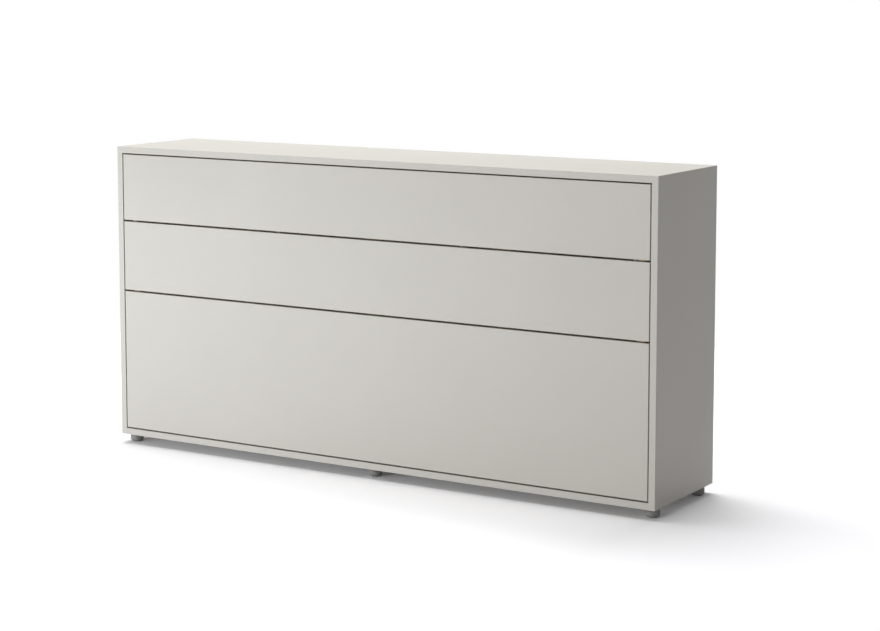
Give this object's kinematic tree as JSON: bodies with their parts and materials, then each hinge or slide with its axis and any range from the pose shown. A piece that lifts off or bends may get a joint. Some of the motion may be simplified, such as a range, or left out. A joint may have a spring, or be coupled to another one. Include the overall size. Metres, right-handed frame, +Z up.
{
  "type": "cabinet bed",
  "caption": "Low cabinet on levelling feet whose flush front tilts down on side pivots as a slatted bed, with the top strip folding out as its leg.",
  "frame": {"origin": "centre of the ground area, on the floor under the feet, with the bed closed", "axes": "+X to the right along the front, +Y from the front to the back, +Z up"},
  "size_m": [2.1, 0.425, 1.058],
  "materials": {
    "board": "matt melamine",
    "front_board": "matt melamine",
    "back_board": "painted hardboard",
    "inner_board": "matt melamine",
    "frame_wood": "planed",
    "beech": "bent plywood",
    "white_plastic": "moulded",
    "foot_plastic": "moulded",
    "bush_plastic": "moulded",
    "zinc_steel": "zinc plated",
    "dark_steel": "powder coated",
    "spring_black": "satin",
    "chrome_rod": "polished",
    "mattress_cover": "knitted",
    "strap_web": "woven"
  },
  "bodies": {
    "cabinet": {"back_joint_profiles": "white_plastic", "back_panel_left": "back_board", "back_panel_middle": "back_board", "back_panel_right": "back_board", "bearing_bushes": "bush_plastic", "bearing_plates": "dark_steel", "bottom_panel": "board", "bracket_screws": "zinc_steel", "catch_magnets": "zinc_steel", "corner_brackets": "zinc_steel", "fitting_screws": "zinc_steel", "foot_collars": "foot_plastic", "link_pivot_pins": "zinc_steel", "lower_rear_rail": "inner_board", "mitre_tongues": "beech", "rail_dowels": "beech", "side_panel_left": "board", "side_panel_right": "board", "spring_studs": "zinc_steel", "stop_blocks": "inner_board", "top_panel": "board", "wall_rail": "inner_board"},
    "bed": {"front_panel_lower": "front_board", "front_panel_middle": "front_board", "panel_battens": "frame_wood", "panel_screws": "zinc_steel", "lower_long_rail": "frame_wood", "upper_long_rail": "frame_wood", "cross_rail_left": "frame_wood", "cross_rail_middle": "frame_wood", "cross_rail_right": "frame_wood", "end_rail_left": "frame_wood", "end_rail_right": "frame_wood", "pivot_plates": "dark_steel", "leg_hinge_plates": "dark_steel", "rod_studs": "zinc_steel", "slats": "beech", "slat_holders": "white_plastic", "mattress": "mattress_cover", "mattress_straps": "strap_web", "strap_buckles": "bush_plastic", "strike_plates": "zinc_steel"},
    "leg": {"front_panel_upper": "front_board", "leg_stiffener": "frame_wood", "leg_brackets": "dark_steel", "link_end_pins": "zinc_steel", "leg_screws": "zinc_steel", "leg_glides": "foot_plastic"},
    "gas_cylinder_left": {"gas_cylinder_left": "spring_black"},
    "gas_cylinder_right": {"gas_cylinder_right": "spring_black"},
    "gas_rod_left": {"gas_rod_left": "chrome_rod"},
    "gas_rod_right": {"gas_rod_right": "chrome_rod"},
    "leg_link_left": {"leg_link_left": "dark_steel"},
    "leg_link_right": {"leg_link_right": "dark_steel"},
    "foot_back_left": {"foot_back_left": "foot_plastic"},
    "foot_back_middle": {"foot_back_middle": "foot_plastic"},
    "foot_back_right": {"foot_back_right": "foot_plastic"},
    "foot_front_left": {"foot_front_left": "foot_plastic"},
    "foot_front_middle": {"foot_front_middle": "foot_plastic"},
    "foot_front_right": {"foot_front_right": "foot_plastic"}
  },
  "joints": [
    {"name": "bed_tilt", "type": "hinge", "parent": "cabinet", "child": "bed", "pos_m": [0, -0.1825, 0.196], "axis": [1, 0, 0], "range_deg": [0, 90]},
    {"name": "leg_fold", "type": "hinge", "parent": "bed", "child": "leg", "pos_m": [0, -0.1825, 0.993], "axis": [1, 0, 0], "range_deg": [-90, 0]},
    {"name": "link_swing_left", "type": "hinge", "parent": "cabinet", "child": "leg_link_left", "pos_m": [-1.0228, -0.16645, 0.218], "axis": [1, 0, 0], "range_deg": [0, 90]},
    {"name": "cylinder_swing_left", "type": "hinge", "parent": "cabinet", "child": "gas_cylinder_left", "pos_m": [-1.0105, -0.15294, 0.31437], "axis": [1, 0, 0], "range_deg": [0, 45]},
    {"name": "rod_swing_left", "type": "hinge", "parent": "bed", "child": "gas_rod_left", "pos_m": [-1.0105, -0.17824, 0.07407], "axis": [1, 0, 0], "range_deg": [-45, 0]},
    {"name": "link_swing_right", "type": "hinge", "parent": "cabinet", "child": "leg_link_right", "pos_m": [1.0228, -0.16645, 0.218], "axis": [1, 0, 0], "range_deg": [0, 90]},
    {"name": "cylinder_swing_right", "type": "hinge", "parent": "cabinet", "child": "gas_cylinder_right", "pos_m": [1.0105, -0.15294, 0.31437], "axis": [1, 0, 0], "range_deg": [0, 45]},
    {"name": "rod_swing_right", "type": "hinge", "parent": "bed", "child": "gas_rod_right", "pos_m": [1.0105, -0.17824, 0.07407], "axis": [1, 0, 0], "range_deg": [-45, 0]},
    {"name": "foot_back_left_level", "type": "slide", "parent": "cabinet", "child": "foot_back_left", "axis": [0, 0, -1], "range_m": [0, 0.012]},
    {"name": "foot_back_middle_level", "type": "slide", "parent": "cabinet", "child": "foot_back_middle", "axis": [0, 0, -1], "range_m": [0, 0.012]},
    {"name": "foot_back_right_level", "type": "slide", "parent": "cabinet", "child": "foot_back_right", "axis": [0, 0, -1], "range_m": [0, 0.012]},
    {"name": "foot_front_left_level", "type": "slide", "parent": "cabinet", "child": "foot_front_left", "axis": [0, 0, -1], "range_m": [0, 0.012]},
    {"name": "foot_front_middle_level", "type": "slide", "parent": "cabinet", "child": "foot_front_middle", "axis": [0, 0, -1], "range_m": [0, 0.012]},
    {"name": "foot_front_right_level", "type": "slide", "parent": "cabinet", "child": "foot_front_right", "axis": [0, 0, -1], "range_m": [0, 0.012]}
  ],
  "couplings": [
    {"joint": "leg_fold", "follows": "bed_tilt", "ratio": -1},
    {"joint": "link_swing_left", "follows": "bed_tilt", "ratio": 1},
    {"joint": "cylinder_swing_left", "follows": "bed_tilt", "ratio": 0.5},
    {"joint": "rod_swing_left", "follows": "bed_tilt", "ratio": -0.5},
    {"joint": "link_swing_right", "follows": "bed_tilt", "ratio": 1},
    {"joint": "cylinder_swing_right", "follows": "bed_tilt", "ratio": 0.5},
    {"joint": "rod_swing_right", "follows": "bed_tilt", "ratio": -0.5}
  ]
}
